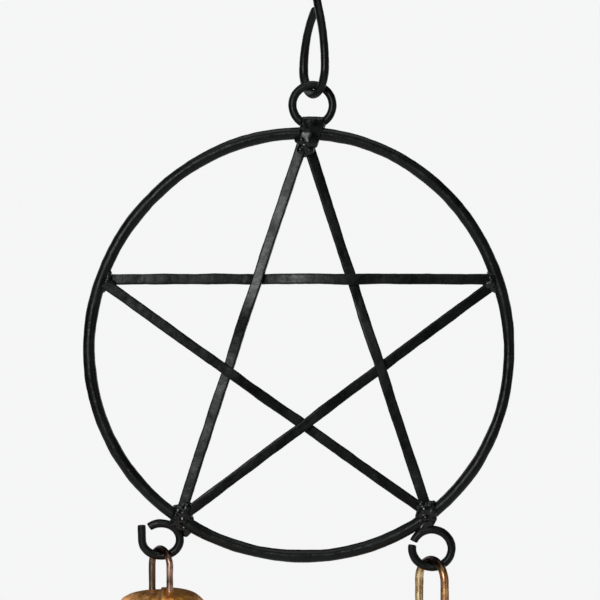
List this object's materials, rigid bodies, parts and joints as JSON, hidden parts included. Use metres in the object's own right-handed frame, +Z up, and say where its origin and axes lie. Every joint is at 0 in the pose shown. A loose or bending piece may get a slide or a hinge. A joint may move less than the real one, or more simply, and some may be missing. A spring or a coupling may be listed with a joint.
{
  "type": "wind chime",
  "caption": "Black iron pentacle chime: a hoop round a woven star, hung by an S-hook through a welded eye, with a brass bell on a wire ring under each foot of the star.",
  "frame": {"origin": "the hanging point: the inside top of the hook's upper bend, where a nail or branch bears", "axes": "+Z up; the hoop lies in the XZ plane with its front towards -Y; +X to the right seen from the front"},
  "size_m": [0.1522, 0.044, 0.317],
  "materials": {
    "black_iron": "semi-gloss black over hand-worked iron",
    "black_weld": "glossy black over lumpy weld metal",
    "bell_brass": "worn, mottled brass coating",
    "left_loop_metal": "worn coppery coating",
    "right_loop_metal": "worn brass coating",
    "clapper_iron": "dark, dull"
  },
  "bodies": {
    "hook": {"hanging_hook": "black_iron"},
    "pendant": {"eye_ring": "black_iron", "hoop": "black_iron", "star_bar_apex_to_foot_left": "black_iron", "star_bar_apex_to_foot_right": "black_iron", "star_bar_left_to_right": "black_iron", "star_bar_left_to_foot_right": "black_iron", "star_bar_right_to_foot_left": "black_iron", "left_open_ring": "black_iron", "right_open_ring": "black_iron", "weld_eye": "black_weld", "weld_apex": "black_weld", "weld_right": "black_weld", "weld_foot_right": "black_weld", "weld_foot_left": "black_weld", "weld_left": "black_weld"},
    "left_bell": {"left_bell_loop": "left_loop_metal", "left_bell_crown": "bell_brass", "left_bell_shell": "bell_brass", "left_bell_staple": "clapper_iron"},
    "left_clapper": {"left_clapper_rod": "clapper_iron", "left_clapper_striker": "clapper_iron"},
    "right_bell": {"right_bell_loop": "right_loop_metal", "right_bell_crown": "bell_brass", "right_bell_shell": "bell_brass", "right_bell_staple": "clapper_iron"},
    "right_clapper": {"right_clapper_rod": "clapper_iron", "right_clapper_striker": "clapper_iron"}
  },
  "joints": [
    {"name": "frame_swing", "type": "hinge", "parent": "hook", "child": "pendant", "pos_m": [0, 0, -0.07173], "axis": [1, 0, 0], "range_deg": [-75, 75]},
    {"name": "left_bell_swing", "type": "hinge", "parent": "pendant", "child": "left_bell", "pos_m": [-0.0538, 0, -0.23698], "axis": [1, 0, 0], "range_deg": [-75, 75]},
    {"name": "left_clapper_swing", "type": "hinge", "parent": "left_bell", "child": "left_clapper", "pos_m": [-0.0538, 0, -0.25718], "axis": [1, 0, 0], "range_deg": [-18, 18]},
    {"name": "right_bell_swing", "type": "hinge", "parent": "pendant", "child": "right_bell", "pos_m": [0.0413, 0, -0.24098], "axis": [1, 0, 0], "range_deg": [-75, 75]},
    {"name": "right_clapper_swing", "type": "hinge", "parent": "right_bell", "child": "right_clapper", "pos_m": [0.0413, 0, -0.26703], "axis": [1, 0, 0], "range_deg": [-19, 19]}
  ]
}
